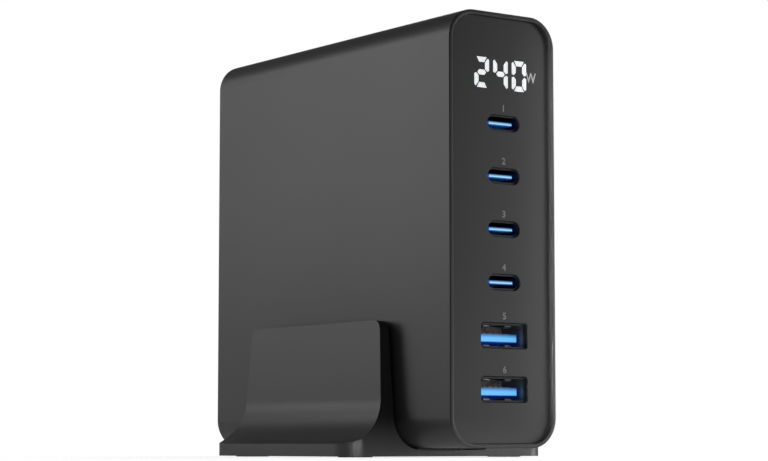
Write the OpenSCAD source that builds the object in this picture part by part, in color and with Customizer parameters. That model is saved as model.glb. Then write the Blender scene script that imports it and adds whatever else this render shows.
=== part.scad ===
// Desktop charger with six sockets, standing upright in a moulded cradle.
// X runs across the front, Y from front to rear, Z upwards. The origin is on the table, under the middle.

/* [Charger body] */
// Width of the body across its front
body_w = 30.8; // [30:0.2:38]
// Depth of the body from the front rim to the rear edge
body_d = 99; // [98:1:130]
// Height of the body
body_h = 100; // [99:1:120]
// Radius of the body's four long corners
corner_r = 7; // [5:0.5:8]
// Wall of the sleeve
wall = 2; // [1.6:0.1:2.2]
// Width of the thin rim round the front panel and the rear cover
rim_w = 1; // [0.8:0.1:1.2]
// Rounding of the sleeve's outer end edges
edge_r = 0.4; // [0.2:0.1:0.6]

/* [Front panel] */
// Thickness of the front panel
panel_t = 2; // [1.6:0.1:2.4]
// How far the panel sits behind the rim
panel_recess = 1; // [0.6:0.1:1.4]
// Clearance round the panel and the cover in the sleeve
plate_gap = 0.1; // [0.05:0.05:0.2]
// Diameter of the posts that carry the socket board
post_d = 4.8; // [4:0.2:5.2]

/* [Rear cover] */
// Thickness of the rear cover
cover_t = 2; // [1.6:0.1:2.6]
// How far the cover sits behind the sleeve's rear edge
cover_recess = 0.5; // [0.3:0.1:1]
// Height of the mains inlet's centre above the body's underside
inlet_z = 24; // [20:1:26]
// Width of the inlet moulding
inlet_w = 12.4; // [11.6:0.2:13]
// Height of the inlet moulding
inlet_h = 19; // [18:0.5:20]
// Length of the inlet moulding from the cover's face inwards
inlet_l = 15; // [13:0.5:16]
// Diameter of each of the two lobes of the inlet's hollow
inlet_lobe_d = 8.4; // [8:0.1:8.8]
// Distance between the two inlet pins
inlet_pin_pitch = 8.6; // [8.4:0.1:8.8]
// Diameter of an inlet pin
inlet_pin_d = 2.36; // [2.2:0.02:2.5]
// Depth of the inlet's hollow
inlet_deep = 11; // [9:0.5:11]

/* [Display] */
// Width of a digit
digit_w = 4.3; // [3.8:0.1:4.6]
// Height of a digit
digit_h = 7.1; // [6:0.1:7.6]
// Distance from one digit to the next
digit_pitch = 5.5; // [5.2:0.1:5.8]
// Width of a lit bar of a digit
bar_w = 1.2; // [0.9:0.1:1.3]
// Gap between neighbouring bars of a digit
bar_gap = 0.2; // [0.15:0.05:0.3]
// Sideways offset of the three digits from the middle of the front
display_x = 0.2; // [-1:0.1:1]
// Depth of the digits' centre below the body's top
display_drop = 14.1; // [13.8:0.1:15.5]
// Thickness of the light guide's backing behind the panel
guide_t = 1; // [0.8:0.1:1.4]

/* [Sockets] */
// Sideways offset of the socket row from the middle of the front
port_x = 1; // [-1:0.5:1]
// Depth of the top socket's centre below the body's top
port_drop = 25.4; // [24.5:0.1:26]
// Height of the lowest socket's centre above the body's underside
port_foot = 13.35; // [12.5:0.05:14.5]
// Bevel round each socket cut-out in the panel
mouth_bevel = 0.15; // [0.1:0.05:0.3]
// Clearance between a socket's shell and its cut-out
shell_gap = 0.1; // [0.05:0.05:0.2]
// Sheet thickness of the socket shells
shell_t = 0.3; // [0.2:0.05:0.35]
// How far the shells' front edges lie behind the panel's face
shell_set = 0.6; // [0.4:0.1:1]
// Distance from the panel's face to the socket board
socket_l = 12.5; // [11:0.5:14]
// Thickness of the moulded block at the back of each socket
block_l = 3.4; // [2.6:0.2:4]
// Width of the oval sockets' cut-out
oval_w = 9.3; // [9.2:0.1:9.6]
// Height of the oval sockets' cut-out
oval_h = 3.65; // [3.5:0.05:3.9]
// Width of the oval sockets' tongue
oval_tongue_w = 6.7; // [6.4:0.1:6.8]
// Thickness of the oval sockets' tongue
oval_tongue_t = 0.8; // [0.7:0.05:1]
// How far the oval sockets' tongue ends behind the panel's face
oval_tongue_set = 1.2; // [1:0.1:2]
// Width of the flat sockets' cut-out
flat_w = 13.5; // [13.3:0.1:13.7]
// Height of the flat sockets' cut-out
flat_h = 5.8; // [5.7:0.1:6]
// Corner radius of the flat sockets' cut-out
flat_r = 0.7; // [0.6:0.1:0.9]
// Width of the flat sockets' tongue
flat_tongue_w = 11.1; // [10.8:0.1:11.4]
// Thickness of the flat sockets' tongue
flat_tongue_t = 1.9; // [1.6:0.1:2]
// How far the flat sockets' tongue lies below the socket's centre
flat_tongue_drop = 0.45; // [0.3:0.05:0.5]
// How far the flat sockets' tongue ends behind the panel's face
flat_tongue_set = 2.6; // [2:0.1:3]
// Length of a spring window in the flat sockets' shell
window_l = 5.5; // [4.5:0.1:6]
// Width of a spring window
window_w = 2.6; // [2.2:0.1:2.8]

/* [Boards] */
// Thickness of the main, socket and display boards
board_t = 1.6; // [1.2:0.1:1.6]
// Gap between the sleeve's wall and the main board's solder side
solder_gap = 3; // [2.4:0.1:3.2]
// Clearance of the main board in its rails
rail_gap = 0.1; // [0.05:0.05:0.2]
// Width of each rail rib
rail_w = 1.2; // [1:0.1:1.4]
// Height of the rails above the main board's edge
rail_h = 1.8; // [1.4:0.1:2]
// Thickness of the insulating film
film_t = 0.3; // [0.2:0.05:0.4]
// Thickness of the heat spreader sheet
spreader_t = 0.8; // [0.6:0.1:1]
// Diameter of the socket board's screws
screw_d = 2; // [1.8:0.1:2.2]

/* [Power parts] */
// Clearance between neighbouring parts on the main board
part_gap = 1; // [0.8:0.1:1.2]
// Share of the main board's free length that the bulk capacitors take
bulk_share = 0.29; // [0.27:0.01:0.3]
// Share of that length that the line chokes take
ring_share = 0.25; // [0.23:0.01:0.26]
// Share of the board's usable height that the transformer takes
trafo_share = 0.31; // [0.28:0.01:0.32]
// Share of that height that the boost choke takes
boost_share = 0.26; // [0.24:0.01:0.28]
// Share of that height that the heat sink takes
sink_share = 0.26; // [0.24:0.01:0.28]
// Share of the room above the board that the transformer takes
trafo_rise = 0.84; // [0.7:0.02:0.9]
// Share of that room that the boost choke takes
boost_rise = 0.8; // [0.7:0.02:0.9]
// Width of a line choke ring
ring_w = 8; // [6:0.5:9]
// Height of an output coil
coil_h = 5; // [4:0.5:6]
// Height of an output capacitor
can_h = 8; // [6:0.5:10]

/* [Cradle] */
// Width of the cradle's base
stand_w = 59; // [56:1:70]
// Depth of the cradle, front to rear
stand_d = 59; // [50:1:70]
// Corner radius of the cradle seen from above
stand_r = 5.5; // [4:0.5:8]
// Thickness of the base at its outer edge
stand_edge = 2.9; // [2.4:0.1:3.4]
// Thickness of the cradle's floor under the body
floor_t = 1.5; // [1.3:0.1:2]
// Radius of the hollow curve from the base up to a wing
flare_r = 10.9; // [8:0.1:12]
// Height of the wings above the base's underside
wing_h = 31.4; // [28:0.1:40]
// Thickness of a wing where the curve ends
wing_root = 3.5; // [3:0.1:4]
// Thickness of a wing at its top
wing_tip = 2.4; // [2:0.1:2.8]
// Clearance between the body's side and the foot of a wing
cradle_gap = 0.7; // [0.4:0.1:1.2]
// How much further a wing's inner face stands off at its top
cradle_draft = 0.35; // [0.2:0.05:0.6]
// How much shorter a wing is at its top, at each end
wing_draft = 2; // [0.6:0.1:2.6]
// Rounding of the wings' upper corners
wing_corner = 2.5; // [1.5:0.1:4]
// How far the rests in the cradle stand above its floor
rest_proud = 0.4; // [0.3:0.05:0.6]
// How far the feet stand out below the base
foot_proud = 0.2; // [0.15:0.05:0.5]
// Diameter of a foot
foot_d = 8; // [6:0.5:9]
// Depth of the recesses that hold the feet and the rests
pad_recess = 0.5; // [0.4:0.05:0.6]

/* [Hidden] */
$fn = 64;
eps = 0.01;

// Heights of the body over the table, and the levels of its own middle
floor_z = foot_proud + floor_t;
body_z = floor_z + rest_proud;
mid_z = body_z + body_h / 2;

// Stations along Y
front_y = -body_d / 2;
rear_y = body_d / 2;
panel_y = front_y + panel_recess;
panel_back = panel_y + panel_t;
board_y = panel_y + socket_l;
board_back = board_y + board_t;
cover_y = rear_y - cover_recess;
cover_front = cover_y - cover_t;

// Inside of the sleeve
cav_w = body_w - 2 * wall;
cav_h = body_h - 2 * wall;
cav_r = corner_r - wall;
pocket_w = body_w - 2 * rim_w;
pocket_h = body_h - 2 * rim_w;
pocket_r = corner_r - rim_w;

// Half height of the sleeve's hollow at a distance x from its middle plane
function cavity_top(x) =
    let (over = abs(x) - (cav_w / 2 - cav_r))
    cav_h / 2 - (over > 0 ? cav_r - sqrt(cav_r * cav_r - over * over) : 0);

// Screws of the socket board
screw_gap = 0.05;
screw_head_d = 3.6;
screw_head_h = 1.3;
screw_l = 6;

// Length of the inlet's pins behind its moulding
pin_tail = 3;

// Main board, standing beside the right wall with its parts on the left
main_clear = 0.5;
main_x1 = cav_w / 2 - solder_gap;
main_x0 = main_x1 - board_t;
main_y0 = board_back + screw_head_h + main_clear;
main_y1 = cover_front - main_clear;
rail_floor = 0.3;
main_top = cavity_top(main_x1 + rail_gap + rail_w) - rail_floor;
main_foot = mid_z - main_top;

// Posts for the socket board
post_inset = [1.4, 2];
post_x = cav_w / 2 - post_inset[0] - post_d / 2;
post_z = cav_h / 2 - post_inset[1] - post_d / 2;

port_pitch = (body_h - port_drop - port_foot) / 5;

// Room for the parts on the main board. The tail of the mains inlet takes the rear of its
// length; front to rear, the rest goes to the output side, the bulk capacitors and the chokes.
tail_l = main_y1 - (cover_y - inlet_l - pin_tail);
free_l = main_y1 - main_y0 - tail_l;
bulk_d = bulk_share * free_l - part_gap;
ring_d = ring_share * free_l - part_gap;
front_l = free_l - bulk_share * free_l - ring_share * free_l;
use_foot = rail_h + part_gap;
use_h = 2 * (main_top - use_foot);
room_x = main_x0 + cav_w / 2 - spreader_t;

function port_height(i) = body_z + body_h - port_drop - i * port_pitch;

module rounded(w, h, r) {
    square([w - 2 * r, h], center = true);
    if (h > 2 * r + eps) square([w, h - 2 * r], center = true);
    for (sx = [-1, 1], sy = [-1, 1])
        translate([sx * (w / 2 - r), sy * (h / 2 - r)]) circle(r);
}

// A flat outline in X and Z, drawn out along Y from y0 to y1
module along_y(y0, y1) {
    translate([0, y1, 0]) rotate([90, 0, 0]) linear_extrude(y1 - y0) children();
}

// A rounded rectangle standing between y0 and y1, centred on the body's axis
module slab(w, h, r, y0, y1) {
    translate([0, 0, mid_z]) along_y(y0, y1) rounded(w, h, r);
}

// A block between two opposite corners
module block(a, b) {
    translate(a) cube(b - a);
}

// A disc between y0 and y1
module disc_y(d, y0, y1, x = 0, z = 0) {
    translate([x, y1, z]) rotate([90, 0, 0]) cylinder(h = y1 - y0, d = d);
}

// A plate of thickness t whose outer edge on the far side is rounded by e
module rounded_plate(w, h, r, t, e) {
    core_w = w - 2 * r;
    core_h = h - 2 * r;
    for (i = [0:3])
        translate([(i == 0 || i == 3 ? 1 : -1) * core_w / 2, (i < 2 ? 1 : -1) * core_h / 2, 0])
            rotate(90 * i) rotate_extrude(angle = 90) rounded_edge(r, t, e);
    for (s = [0, 180]) rotate(s) {
        translate([-core_w / 2, core_h / 2, 0])
            rotate([90, 0, 90]) linear_extrude(core_w) rounded_edge(r, t, e);
        translate([core_w / 2, core_h / 2, 0])
            rotate([90, 0, 0]) linear_extrude(core_h) rounded_edge(r, t, e);
    }
    translate([-core_w / 2, -core_h / 2, 0]) cube([core_w, core_h, t]);
}

module rounded_edge(r, t, e) {
    square([r, t - e]);
    square([r - e, t]);
    translate([r - e, t - e]) circle(e);
}

// A cut-out through the panel, flared at its front face
module bevelled_cut(w, h, r) {
    translate([0, panel_back + eps, 0]) rotate([90, 0, 0]) {
        linear_extrude(panel_t + 2 * eps) rounded(w, h, r);
        translate([0, 0, panel_t + eps - mouth_bevel]) flared_block(w, h, r, mouth_bevel + eps);
    }
}

module flared_block(w, h, r, t) {
    for (sx = [-1, 1], sy = [-1, 1])
        translate([sx * (w / 2 - r), sy * (h / 2 - r), 0]) cylinder(h = t, r1 = r, r2 = r + t);
    translate([-w / 2 + r, 0, 0]) rotate([90, 0, 90]) linear_extrude(w - 2 * r) flare_section(h, t);
    if (h > 2 * r + eps)
        translate([0, h / 2 - r, 0]) rotate([90, 0, 0]) linear_extrude(h - 2 * r) flare_section(w, t);
}

module flare_section(s, t) {
    polygon([[-s / 2, 0], [s / 2, 0], [s / 2 + t, t], [-s / 2 - t, t]]);
}

// Seamless sleeve, rebated at both ends for the panel and the cover, with rails for the main board
module housing() color("#5b5b5d") {
    difference() {
        union() {
            cap = 2 * edge_r;
            slab(body_w, body_h, corner_r, front_y + cap, rear_y - cap);
            for (s = [0, 1]) mirror([0, s, 0])
                translate([0, front_y + cap, mid_z]) rotate([90, 0, 0])
                    rounded_plate(body_w, body_h, corner_r, cap, edge_r);
        }
        slab(cav_w, cav_h, cav_r, front_y - eps, rear_y + eps);
        slab(pocket_w, pocket_h, pocket_r, front_y - eps, panel_back);
        slab(pocket_w, pocket_h, pocket_r, cover_front, rear_y + eps);
    }
    translate([0, 0, mid_z]) along_y(main_y0, main_y1) rail_section();
}

module rail_section() {
    out = main_x1 + rail_gap + rail_w;
    inn = main_x0 - rail_gap - rail_w;
    difference() {
        intersection() {
            rounded(body_w - wall, body_h - wall, corner_r - wall / 2);
            for (s = [-1, 1])
                translate([(out + inn) / 2, s * (main_top - rail_h + body_h / 2) / 2])
                    square([out - inn, body_h / 2 - main_top + rail_h], center = true);
        }
        translate([(main_x0 + main_x1) / 2, 0])
            square([board_t + 2 * rail_gap, 2 * main_top], center = true);
    }
}

module front_panel() color("#535355") difference() {
    union() {
        slab(pocket_w - 2 * plate_gap, pocket_h - 2 * plate_gap, pocket_r - plate_gap, panel_y, panel_back);
        for (sx = [-1, 1], sz = [-1, 1])
            disc_y(post_d, panel_back - eps, board_y, sx * post_x, mid_z + sz * post_z);
    }
    for (i = [0:3]) translate([port_x, 0, port_height(i)]) bevelled_cut(oval_w, oval_h, oval_h / 2);
    for (i = [4:5]) translate([port_x, 0, port_height(i)]) bevelled_cut(flat_w, flat_h, flat_r);
    along_y(panel_y - eps, panel_back + eps) readout();
    for (sx = [-1, 1], sz = [-1, 1])
        disc_y(screw_d + 2 * screw_gap, board_y - screw_l, board_y + eps, sx * post_x, mid_z + sz * post_z);
}

// Which of the seven bars are lit for each figure: top, upper right, lower right, bottom,
// lower left, upper left, middle
FIGURES = [
    [1, 1, 1, 1, 1, 1, 0], [0, 1, 1, 0, 0, 0, 0], [1, 1, 0, 1, 1, 0, 1], [1, 1, 1, 1, 0, 0, 1],
    [0, 1, 1, 0, 0, 1, 1], [1, 0, 1, 1, 0, 1, 1], [1, 0, 1, 1, 1, 1, 1], [1, 1, 1, 0, 0, 0, 0],
    [1, 1, 1, 1, 1, 1, 1], [1, 1, 1, 1, 0, 1, 1]
];
READING = [2, 4, 0];
readout_z = body_z + body_h - display_drop;

// The lit bars of all three figures, in X and Z
module readout() {
    for (i = [0:2])
        translate([display_x + (i - 1) * digit_pitch, readout_z]) figure_bars(FIGURES[READING[i]]);
}

module figure_bars(lit) {
    for (s = [0, 1]) mirror([0, s]) if (lit[3 * s]) end_bar();
    for (sx = [0, 1], sz = [0, 1]) {
        turn = sx == 0 ? 1 + sz : 5 - sz;
        mirror([sx, 0]) mirror([0, sz]) if (lit[turn]) side_bar();
    }
    if (lit[6]) middle_bar();
}

module end_bar() {
    outer = (digit_w - bar_w - bar_gap) / 2;
    inner = digit_w / 2 - bar_w - bar_gap;
    polygon([[-outer, digit_h / 2], [outer, digit_h / 2],
        [inner, digit_h / 2 - bar_w], [-inner, digit_h / 2 - bar_w]]);
}

module side_bar() {
    a = digit_w / 2;
    b = digit_h / 2;
    polygon([[a, 2 * bar_gap], [a, b - bar_w / 2], [a - bar_w / 3, b - bar_w / 4],
        [a - bar_w, b - bar_w - bar_gap / 2], [a - bar_w, bar_w / 2 + bar_gap], [a - bar_w / 2, bar_gap]]);
}

module middle_bar() {
    long = digit_w / 2 - 3 / 4 * bar_w;
    short = digit_w / 2 - bar_w - bar_gap;
    polygon([[-long, 0], [-short, bar_w / 2], [short, bar_w / 2], [long, 0],
        [short, -bar_w / 2], [-short, -bar_w / 2]]);
}

// Half size of the light guide's backing
guide_x = 1.5 * digit_pitch;
guide_lip = 0.8;
guide_z = digit_h / 2 + guide_lip;

// Clear moulding whose raised bars fill the slots of the panel
module display_light_guide() color("#f4f6fa") {
    along_y(panel_y, panel_back + guide_t / 2) readout();
    block([display_x - guide_x, panel_back, readout_z - guide_z],
        [display_x + guide_x, panel_back + guide_t, readout_z + guide_z]);
}

display_back = panel_back + guide_t + board_t;

module display_board() color("#1f4a2c")
    block([display_x - guide_x, panel_back + guide_t, readout_z - guide_z],
        [display_x + guide_x, display_back, readout_z + guide_z]);

// Pin header that joins the display board to the socket board
module display_header() color("#18181a")
    block([display_x - header_w / 2, display_back, readout_z - header_t / 2],
        [display_x + header_w / 2, board_y, readout_z + header_t / 2]);

header_w = 10;
header_t = 2.5;

// Outer and inner size of the socket shells
oval_out = [oval_w - 2 * shell_gap, oval_h - 2 * shell_gap];
oval_in = [oval_out[0] - 2 * shell_t, oval_out[1] - 2 * shell_t];
flat_out = [flat_w - 2 * shell_gap, flat_h - 2 * shell_gap];
flat_in = [flat_out[0] - 2 * shell_t, flat_out[1] - 2 * shell_t];
flat_out_r = flat_r - shell_gap;
shell_y = panel_y + shell_set;
block_y = board_y - block_l;
moulding_gap = 0.05;

module at_socket(i) translate([port_x, 0, port_height(i)]) children();

module oval_shell(i) color("#8c9096")
    at_socket(i) along_y(shell_y, board_y) difference() {
        rounded(oval_out[0], oval_out[1], oval_out[1] / 2);
        rounded(oval_in[0], oval_in[1], oval_in[1] / 2);
    }

module oval_tongue(i) color("#1f7fe8") at_socket(i) {
    body = [oval_in[0] - 2 * moulding_gap, oval_in[1] - 2 * moulding_gap];
    along_y(panel_y + oval_tongue_set, block_y + eps) square([oval_tongue_w, oval_tongue_t], center = true);
    along_y(block_y, board_y) rounded(body[0], body[1], body[1] / 2);
}

// Twelve fingers on each face of every oval tongue
module usb_c_contacts() color("#d9b25a") {
    for (i = [0:3], k = [0:fingers - 1], s = [-1, 1]) at_socket(i)
        translate([(k - (fingers - 1) / 2) * finger_pitch, 0, s * (oval_tongue_t + finger_t) / 2])
            along_y(panel_y + oval_tongue_set + finger_set, block_y)
                square([finger_w, finger_t], center = true);
}

fingers = 12;
finger_pitch = 0.5;
finger_w = 0.26;
finger_t = 0.05;
finger_set = 0.5;

// Springs stand in two windows of the upper and two of the lower wall
module flat_shell(i) color("#8c9096") at_socket(i) {
    window_y = shell_y + window_set;
    difference() {
        along_y(shell_y, board_y) difference() {
            rounded(flat_out[0], flat_out[1], flat_out_r);
            rounded(flat_in[0], flat_in[1], flat_out_r - shell_t);
        }
        for (sx = [-1, 1])
            block([sx * window_x - window_w / 2, window_y, -flat_h],
                [sx * window_x + window_w / 2, window_y + window_l, flat_h]);
    }
    for (sx = [-1, 1], s = [0, 1]) mirror([0, 0, s])
        translate([sx * window_x - leaf_w / 2, window_y, flat_in[1] / 2])
            rotate([90, 0, 90]) linear_extrude(leaf_w) leaf();
}

window_x = 3.2;
window_set = 1.6;
leaf_w = window_w - 0.8;
leaf_drop = 0.7;

// Side view of a spring: from the rear edge of its window forwards and down, then up again
module leaf() {
    tip = 0.5;
    knee = 1.3;
    polygon([[window_l + eps, 0], [window_l + eps, shell_t], [knee, shell_t - leaf_drop],
        [tip, shell_t - leaf_drop / 2], [tip, -leaf_drop / 2], [knee, -leaf_drop]]);
}

module flat_tongue(i) color("#1f7fe8") at_socket(i) {
    translate([0, 0, -flat_tongue_drop])
        along_y(panel_y + flat_tongue_set, block_y + eps)
            square([flat_tongue_w, flat_tongue_t], center = true);
    along_y(block_y, board_y)
        rounded(flat_in[0] - 2 * moulding_gap, flat_in[1] - 2 * moulding_gap, flat_out_r - shell_t);
}

// Five short pads at the tip of each flat tongue and four long ones behind them
module usb_a_contacts() color("#d9b25a") {
    tip_y = panel_y + flat_tongue_set;
    for (i = [4:5]) at_socket(i) translate([0, 0, (flat_tongue_t + pad_t) / 2 - flat_tongue_drop]) {
        for (k = [-2:2]) translate([k * short_pitch, 0, 0])
            along_y(tip_y + short_set, tip_y + short_set + short_l) square([short_w, pad_t], center = true);
        for (sx = [-1, 1], x = [long_pitch / 2, long_far]) translate([sx * x, 0, 0])
            along_y(tip_y + long_set, block_y) square([long_w, pad_t], center = true);
    }
}

pad_t = 0.1;
short_pitch = 1.6;
short_set = 0.6;
short_l = 1.2;
short_w = 0.6;
long_pitch = 2;
long_far = 3.5;
long_set = 2.4;
long_w = 1;

board_edge = 0.5;

module socket_board() color("#1f4a2c") difference() {
    slab(cav_w - 2 * board_edge, cav_h - 2 * board_edge, cav_r - board_edge, board_y, board_back);
    for (sx = [-1, 1], sz = [-1, 1])
        disc_y(screw_d + 4 * screw_gap, board_y - eps, board_back + eps, sx * post_x, mid_z + sz * post_z);
}

module socket_board_screws() color("#a9abae")
    for (sx = [-1, 1], sz = [-1, 1]) {
        disc_y(screw_d, board_back - screw_l, board_back + eps, sx * post_x, mid_z + sz * post_z);
        disc_y(screw_head_d, board_back, board_back + screw_head_h, sx * post_x, mid_z + sz * post_z);
    }

// The board's lower edge stands on the floor of the lower rail
module main_board() color("#1f4a2c")
    block([main_x0, main_y0, main_foot], [main_x1, main_y1, mid_z + main_top - rail_gap]);

// Half height of the sheets on the flat side walls
sheet_inset = 1;
flat_half = cav_h / 2 - cav_r - sheet_inset;

module insulating_film() color("#e8e4d4")
    block([cav_w / 2 - film_t, main_y0, mid_z - flat_half], [cav_w / 2, main_y1, mid_z + flat_half]);

module heat_spreader() color("#b9bbbd")
    block([-cav_w / 2, main_y0, mid_z - flat_half],
        [-cav_w / 2 + spreader_t, main_y1, mid_z + flat_half]);

// Puts a part on the main board, its height towards the left: y from the board's front,
// and its level as a share of the usable height
module on_board(y, level)
    translate([main_x0, main_y0 + y, main_foot + use_foot + level * use_h]) rotate([0, -90, 0]) children();

// The same, with y measured forwards from the board's rear edge
module on_board_rear(y, level) on_board(main_y1 - main_y0 - y, level) children();

// Ferrite pair round a winding: two plates, two side walls and a round middle leg
core_plate = 3.4;
core_wall = 2;

module ferrite(sy, sz, sx) {
    bore = sy - 2 * core_wall;
    difference() {
        translate([-sz / 2, -sy / 2, 0]) cube([sz, sy, sx]);
        translate([0, 0, core_plate]) cylinder(h = sx - 2 * core_plate, d = bore);
        translate([-sz, -bore / 3, core_plate]) cube([2 * sz, 2 / 3 * bore, sx - 2 * core_plate]);
    }
    translate([0, 0, core_plate / 2]) cylinder(h = sx - core_plate, d = leg_share * sy);
}

leg_share = 0.4;
coil_gap = 0.2;

module winding(sy, sx) translate([0, 0, core_plate])
    difference() {
        cylinder(h = sx - 2 * core_plate, d = sy - 2 * core_wall - 2 * coil_gap);
        translate([0, 0, -1]) cylinder(h = sx, d = leg_share * sy + 2 * coil_gap);
    }

// Sizes and places of the wound parts
trafo_y = front_l - 3 * part_gap;
trafo_z = trafo_share * use_h;
trafo_x = trafo_rise * room_x;
trafo_at = [part_gap + trafo_y / 2, 0.55];
boost_z = boost_share * use_h;
boost_y = min(boost_z, (tail_l + ring_d) / 1.6);
boost_x = boost_rise * room_x;
boost_at = [tail_l / 2 + part_gap + boost_y / 2, 0.85];

module transformer_core() color("#3a3a3e")
    on_board(trafo_at[0], trafo_at[1]) ferrite(trafo_y, trafo_z, trafo_x);

module transformer_winding() color("#c9a13b")
    on_board(trafo_at[0], trafo_at[1]) winding(trafo_y, trafo_x);

module boost_choke_core() color("#3a3a3e")
    on_board_rear(boost_at[0], boost_at[1]) ferrite(boost_y, boost_z, boost_x);

module boost_choke_winding() color("#b5652e")
    on_board_rear(boost_at[0], boost_at[1]) winding(boost_y, boost_x);

ring_base = 1.6;
ring_hole = 0.42;
ring_at = [tail_l + part_gap + ring_d / 2, 0.1];
ring_levels = [ring_at[1], 3 * ring_at[1]];

module line_choke_rings() color("#4f6f4a")
    for (level = ring_levels) on_board_rear(ring_at[0], level) translate([0, 0, ring_base])
        difference() {
            cylinder(h = ring_w, d = ring_d);
            translate([0, 0, -1]) cylinder(h = ring_w + 2, d = ring_d * ring_hole);
        }

module line_choke_bases() color("#202022")
    for (level = ring_levels) on_board_rear(ring_at[0], level)
        linear_extrude(ring_base) rounded(ring_d, ring_d, 2);

filter_size = [0.2 * use_h, 8.5, 15];
filter_at = [part_gap + filter_size[1] / 2 + 2, 0.5];

module line_filter_capacitor() color("#d6b53a")
    on_board_rear(filter_at[0], filter_at[1]) linear_extrude(filter_size[2])
        rounded(filter_size[0], filter_size[1], 1);

// Outline of an aluminium can with its crimped groove, for turning round its axis
module can_section(d, h) {
    groove_r = 0.6;
    groove_z = 0.12 * h;
    difference() {
        square([d / 2, h]);
        translate([(d + groove_r) / 2, groove_z]) circle(groove_r);
    }
}

bulk_lead_d = 0.8;
bulk_lead = 1.4;
bulk_lead_pitch = 7.5;
bulk_slot = 0.5;
bulk_l = bulk_slot * use_h - 2 * bulk_lead - part_gap;
bulk_y = front_l + part_gap + bulk_d / 2;

module bulk_capacitors() color("#26262a")
    for (level = [1 - bulk_slot, 1]) on_board(bulk_y, level) translate([-2 * bulk_lead, 0, 0]) {
        translate([0, 0, bulk_d / 2]) rotate([0, -90, 0]) rotate_extrude() can_section(bulk_d, bulk_l);
        for (s = [-1, 1]) translate([0, s * bulk_lead_pitch / 2, 0]) bulk_lead();
    }

// A bent lead, out of the can's foot and down to the board
module bulk_lead() {
    translate([-eps, 0, bulk_d / 2]) rotate([0, 90, 0]) cylinder(h = bulk_lead, d = bulk_lead_d);
    translate([bulk_lead - bulk_lead_d / 2, 0, 0]) cylinder(h = bulk_d / 2, d = bulk_lead_d);
}

sink_t = 1.6;
sink_h = 18;
sink_w = sink_share * use_h;
transistor_size = [0.115 * use_h, 4.4, 15];
sink_at = [tail_l + part_gap + transistor_size[1], 0.555];

module heat_sink() color("#b4b6b9")
    on_board_rear(sink_at[0], sink_at[1])
        translate([-sink_w / 2, -sink_t / 2, 0]) cube([sink_w, sink_t, sink_h]);

bridge_size = [0.16 * use_h, 3.4, 16];

module bridge_rectifier() color("#1c1c1e") on_board_rear(sink_at[0], sink_at[1])
    translate([-sink_w / 2, -sink_t / 2 - bridge_size[1], 0]) cube(bridge_size);

module power_transistors() color("#242426") on_board_rear(sink_at[0], sink_at[1])
    for (k = [0, 1]) translate([-sink_w / 2 + k * (sink_w - transistor_size[0]), sink_t / 2, 0])
        cube(transistor_size);

fuse_size = [0.09 * use_h, 4, 8];
fuse_at = [part_gap + fuse_size[1] / 2 + 2, 0.66];

module fuse() color("#7a6a3c") on_board_rear(fuse_at[0], fuse_at[1])
    linear_extrude(fuse_size[2]) rounded(fuse_size[0], fuse_size[1], 0.8);

// Output side: coils in two columns near the sockets, cans behind and above them
coil_share = 0.35;
coil_s = coil_share * front_l - 2 * part_gap;
can_d = (1 - 2 * coil_share) * front_l - 2 * part_gap;
coil_levels = [0.05, 0.175, 0.3];
low_can_levels = [0.04, 0.135, 0.23, 0.325];
high_can_levels = [0.785, 0.88];

module output_inductors() color("#4a4c50")
    for (j = [0, 1], level = coil_levels) on_board((j + 0.5) * coil_share * front_l, level)
        linear_extrude(coil_h) rounded(coil_s, coil_s, 1);

module output_capacitors() color("#b9babd") {
    for (level = low_can_levels) on_board(front_l - part_gap - can_d / 2, level) can();
    for (j = [0:2], level = high_can_levels) on_board((j + 0.5) * front_l / 3, level) can();
}

module can() rotate_extrude() can_section(can_d, can_h);

// Mains inlet, standing upright in the rear cover and bearing on it from inside
inlet_at = body_z + inlet_z;
inlet_r = 2.5;
inlet_gap = 0.1;
flange_w = 1.6;
flange_t = 1.5;

module at_inlet() translate([0, 0, inlet_at]) children();

module rear_cover() color("#535355") difference() {
    slab(pocket_w - 2 * plate_gap, pocket_h - 2 * plate_gap, pocket_r - plate_gap, cover_front, cover_y);
    at_inlet() along_y(cover_front - eps, cover_y + eps)
        rounded(inlet_w + 2 * inlet_gap, inlet_h + 2 * inlet_gap, inlet_r + inlet_gap);
}

module ac_inlet() color("#1b1b1d") at_inlet() difference() {
    union() {
        along_y(cover_y - inlet_l, cover_y) rounded(inlet_w, inlet_h, inlet_r);
        along_y(cover_front - flange_t, cover_front)
            rounded(inlet_w + 2 * flange_w, inlet_h + 2 * flange_w, inlet_r + flange_w);
    }
    along_y(cover_y - inlet_deep, cover_y + eps) inlet_hollow();
    for (s = [-1, 1])
        disc_y(inlet_pin_d + 2 * pin_gap, cover_y - inlet_l - eps, cover_y, 0, s * inlet_pin_pitch / 2);
}

waist_w = 6.6;
pin_gap = 0.02;
pin_set = 2;
pin_tip = 0.7;
collar_d = 3.6;
collar_t = 0.8;

// Figure-of-eight outline of the inlet's hollow
module inlet_hollow() {
    for (s = [-1, 1]) translate([0, s * inlet_pin_pitch / 2]) circle(d = inlet_lobe_d);
    square([waist_w, inlet_pin_pitch], center = true);
}

// Each pin is held by a collar against the back of the inlet
module ac_pins() color("#b9b6ae") at_inlet() for (s = [-1, 1]) {
    back = cover_y - inlet_l;
    z = s * inlet_pin_pitch / 2;
    disc_y(inlet_pin_d, back - pin_tail, cover_y - pin_set - pin_tip, 0, z);
    translate([0, cover_y - pin_set - pin_tip, z]) rotate([-90, 0, 0])
        cylinder(h = pin_tip, d1 = inlet_pin_d, d2 = inlet_pin_d / 2);
    disc_y(collar_d, back - collar_t, back, 0, z);
}

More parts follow.
